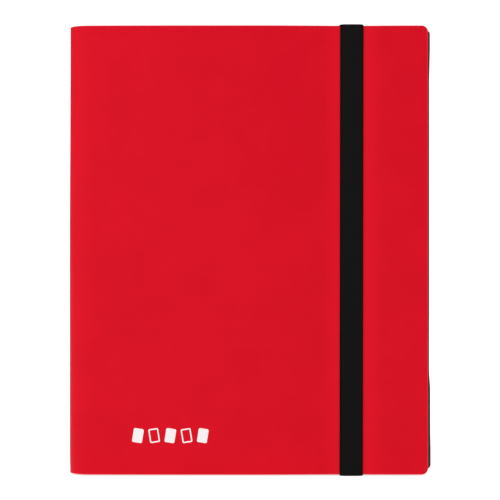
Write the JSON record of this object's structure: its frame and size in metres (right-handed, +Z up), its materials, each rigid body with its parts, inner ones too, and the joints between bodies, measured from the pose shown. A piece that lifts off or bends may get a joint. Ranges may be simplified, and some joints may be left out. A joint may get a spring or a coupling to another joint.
{
  "type": "trading card binder",
  "caption": "Side-loading pocket card binder with a red wrap-round cover, black leaves with clear pockets and a black elastic strap round the front.",
  "frame": {"origin": "under the middle of the closed binder's box, at the level of its lowest point", "axes": "+X from the spine to the fore-edge, -Y out of the front cover, +Z up along the spine, binder standing upright"},
  "size_m": [0.2728, 0.0304, 0.3406],
  "materials": {
    "cover_red": "satin grained polypropylene sheet",
    "binding_black": "matt",
    "leaf_black": "satin polypropylene sheet",
    "clear_film": "clear glossy film with welded seams",
    "strap_black": "woven elastic"
  },
  "bodies": {
    "back": {"back_cover": "cover_red", "strap_inner_run": "strap_black"},
    "spine": {"spine_panel": "cover_red", "binding_strip": "binding_black"},
    "front": {"front_cover": "cover_red"},
    "strap": {"elastic_strap": "strap_black"},
    "leaf_01": {"page_01": "leaf_black", "pocket_film_01": "clear_film"},
    "leaf_02": {"page_02": "leaf_black", "pocket_film_02": "clear_film"},
    "leaf_03": {"page_03": "leaf_black", "pocket_film_03": "clear_film"},
    "leaf_04": {"page_04": "leaf_black", "pocket_film_04": "clear_film"},
    "leaf_05": {"page_05": "leaf_black", "pocket_film_05": "clear_film"},
    "leaf_06": {"page_06": "leaf_black", "pocket_film_06": "clear_film"},
    "leaf_07": {"page_07": "leaf_black", "pocket_film_07": "clear_film"},
    "leaf_08": {"page_08": "leaf_black", "pocket_film_08": "clear_film"},
    "leaf_09": {"page_09": "leaf_black", "pocket_film_09": "clear_film"},
    "leaf_10": {"page_10": "leaf_black", "pocket_film_10": "clear_film"},
    "leaf_11": {"page_11": "leaf_black", "pocket_film_11": "clear_film"},
    "leaf_12": {"page_12": "leaf_black", "pocket_film_12": "clear_film"},
    "leaf_13": {"page_13": "leaf_black", "pocket_film_13": "clear_film"},
    "leaf_14": {"page_14": "leaf_black", "pocket_film_14": "clear_film"},
    "leaf_15": {"page_15": "leaf_black", "pocket_film_15": "clear_film"},
    "leaf_16": {"page_16": "leaf_black", "pocket_film_16": "clear_film"},
    "leaf_17": {"page_17": "leaf_black", "pocket_film_17": "clear_film"},
    "leaf_18": {"page_18": "leaf_black", "pocket_film_18": "clear_film"},
    "leaf_19": {"page_19": "leaf_black", "pocket_film_19": "clear_film"},
    "leaf_20": {"page_20": "leaf_black", "pocket_film_20": "clear_film"}
  },
  "joints": [
    {"name": "spine_fold", "type": "hinge", "parent": "back", "child": "spine", "pos_m": [-0.1264, 0.0138, 0.1703], "axis": [0, 0, -1], "range_deg": [0, 90]},
    {"name": "front_cover_fold", "type": "hinge", "parent": "spine", "child": "front", "pos_m": [-0.1264, -0.0138, 0.1703], "axis": [0, 0, -1], "range_deg": [0, 90]},
    {"name": "strap_release", "type": "hinge", "parent": "back", "child": "strap", "pos_m": [0.0771, 0.0138, 0.1703], "axis": [0, 0, 1], "range_deg": [0, 180], "deforming": ["elastic_strap"]},
    {"name": "leaf_01_turn", "type": "hinge", "parent": "spine", "child": "leaf_01", "pos_m": [-0.1234, -0.01175, 0.1703], "axis": [0, 0, -1], "range_deg": [-90, 90]},
    {"name": "leaf_02_turn", "type": "hinge", "parent": "spine", "child": "leaf_02", "pos_m": [-0.1234, -0.0106, 0.1703], "axis": [0, 0, -1], "range_deg": [-90, 90]},
    {"name": "leaf_03_turn", "type": "hinge", "parent": "spine", "child": "leaf_03", "pos_m": [-0.1234, -0.00945, 0.1703], "axis": [0, 0, -1], "range_deg": [-90, 90]},
    {"name": "leaf_04_turn", "type": "hinge", "parent": "spine", "child": "leaf_04", "pos_m": [-0.1234, -0.0083, 0.1703], "axis": [0, 0, -1], "range_deg": [-90, 90]},
    {"name": "leaf_05_turn", "type": "hinge", "parent": "spine", "child": "leaf_05", "pos_m": [-0.1234, -0.00715, 0.1703], "axis": [0, 0, -1], "range_deg": [-90, 90]},
    {"name": "leaf_06_turn", "type": "hinge", "parent": "spine", "child": "leaf_06", "pos_m": [-0.1234, -0.006, 0.1703], "axis": [0, 0, -1], "range_deg": [-90, 90]},
    {"name": "leaf_07_turn", "type": "hinge", "parent": "spine", "child": "leaf_07", "pos_m": [-0.1234, -0.00485, 0.1703], "axis": [0, 0, -1], "range_deg": [-90, 90]},
    {"name": "leaf_08_turn", "type": "hinge", "parent": "spine", "child": "leaf_08", "pos_m": [-0.1234, -0.0037, 0.1703], "axis": [0, 0, -1], "range_deg": [-90, 90]},
    {"name": "leaf_09_turn", "type": "hinge", "parent": "spine", "child": "leaf_09", "pos_m": [-0.1234, -0.00255, 0.1703], "axis": [0, 0, -1], "range_deg": [-90, 90]},
    {"name": "leaf_10_turn", "type": "hinge", "parent": "spine", "child": "leaf_10", "pos_m": [-0.1234, -0.0014, 0.1703], "axis": [0, 0, -1], "range_deg": [-90, 90]},
    {"name": "leaf_11_turn", "type": "hinge", "parent": "spine", "child": "leaf_11", "pos_m": [-0.1234, -0.00025, 0.1703], "axis": [0, 0, -1], "range_deg": [-90, 90]},
    {"name": "leaf_12_turn", "type": "hinge", "parent": "spine", "child": "leaf_12", "pos_m": [-0.1234, 0.0009, 0.1703], "axis": [0, 0, -1], "range_deg": [-90, 90]},
    {"name": "leaf_13_turn", "type": "hinge", "parent": "spine", "child": "leaf_13", "pos_m": [-0.1234, 0.00205, 0.1703], "axis": [0, 0, -1], "range_deg": [-90, 90]},
    {"name": "leaf_14_turn", "type": "hinge", "parent": "spine", "child": "leaf_14", "pos_m": [-0.1234, 0.0032, 0.1703], "axis": [0, 0, -1], "range_deg": [-90, 90]},
    {"name": "leaf_15_turn", "type": "hinge", "parent": "spine", "child": "leaf_15", "pos_m": [-0.1234, 0.00435, 0.1703], "axis": [0, 0, -1], "range_deg": [-90, 90]},
    {"name": "leaf_16_turn", "type": "hinge", "parent": "spine", "child": "leaf_16", "pos_m": [-0.1234, 0.0055, 0.1703], "axis": [0, 0, -1], "range_deg": [-90, 90]},
    {"name": "leaf_17_turn", "type": "hinge", "parent": "spine", "child": "leaf_17", "pos_m": [-0.1234, 0.00665, 0.1703], "axis": [0, 0, -1], "range_deg": [-90, 90]},
    {"name": "leaf_18_turn", "type": "hinge", "parent": "spine", "child": "leaf_18", "pos_m": [-0.1234, 0.0078, 0.1703], "axis": [0, 0, -1], "range_deg": [-90, 90]},
    {"name": "leaf_19_turn", "type": "hinge", "parent": "spine", "child": "leaf_19", "pos_m": [-0.1234, 0.00895, 0.1703], "axis": [0, 0, -1], "range_deg": [-90, 90]},
    {"name": "leaf_20_turn", "type": "hinge", "parent": "spine", "child": "leaf_20", "pos_m": [-0.1234, 0.0101, 0.1703], "axis": [0, 0, -1], "range_deg": [-90, 90]}
  ],
  "couplings": [
    {"joint": "front_cover_fold", "follows": "spine_fold", "ratio": 1},
    {"joint": "strap_release", "follows": "spine_fold", "ratio": 2},
    {"joint": "leaf_01_turn", "follows": "spine_fold", "ratio": 0.77778},
    {"joint": "leaf_02_turn", "follows": "spine_fold", "ratio": 0.69591},
    {"joint": "leaf_03_turn", "follows": "spine_fold", "ratio": 0.61404},
    {"joint": "leaf_04_turn", "follows": "spine_fold", "ratio": 0.53216},
    {"joint": "leaf_05_turn", "follows": "spine_fold", "ratio": 0.45029},
    {"joint": "leaf_06_turn", "follows": "spine_fold", "ratio": 0.36842},
    {"joint": "leaf_07_turn", "follows": "spine_fold", "ratio": 0.28655},
    {"joint": "leaf_08_turn", "follows": "spine_fold", "ratio": 0.20468},
    {"joint": "leaf_09_turn", "follows": "spine_fold", "ratio": 0.12281},
    {"joint": "leaf_10_turn", "follows": "spine_fold", "ratio": 0.04094},
    {"joint": "leaf_11_turn", "follows": "spine_fold", "ratio": -0.04094},
    {"joint": "leaf_12_turn", "follows": "spine_fold", "ratio": -0.12281},
    {"joint": "leaf_13_turn", "follows": "spine_fold", "ratio": -0.20468},
    {"joint": "leaf_14_turn", "follows": "spine_fold", "ratio": -0.28655},
    {"joint": "leaf_15_turn", "follows": "spine_fold", "ratio": -0.36842},
    {"joint": "leaf_16_turn", "follows": "spine_fold", "ratio": -0.45029},
    {"joint": "leaf_17_turn", "follows": "spine_fold", "ratio": -0.53216},
    {"joint": "leaf_18_turn", "follows": "spine_fold", "ratio": -0.61404},
    {"joint": "leaf_19_turn", "follows": "spine_fold", "ratio": -0.69591},
    {"joint": "leaf_20_turn", "follows": "spine_fold", "ratio": -0.77778}
  ]
}
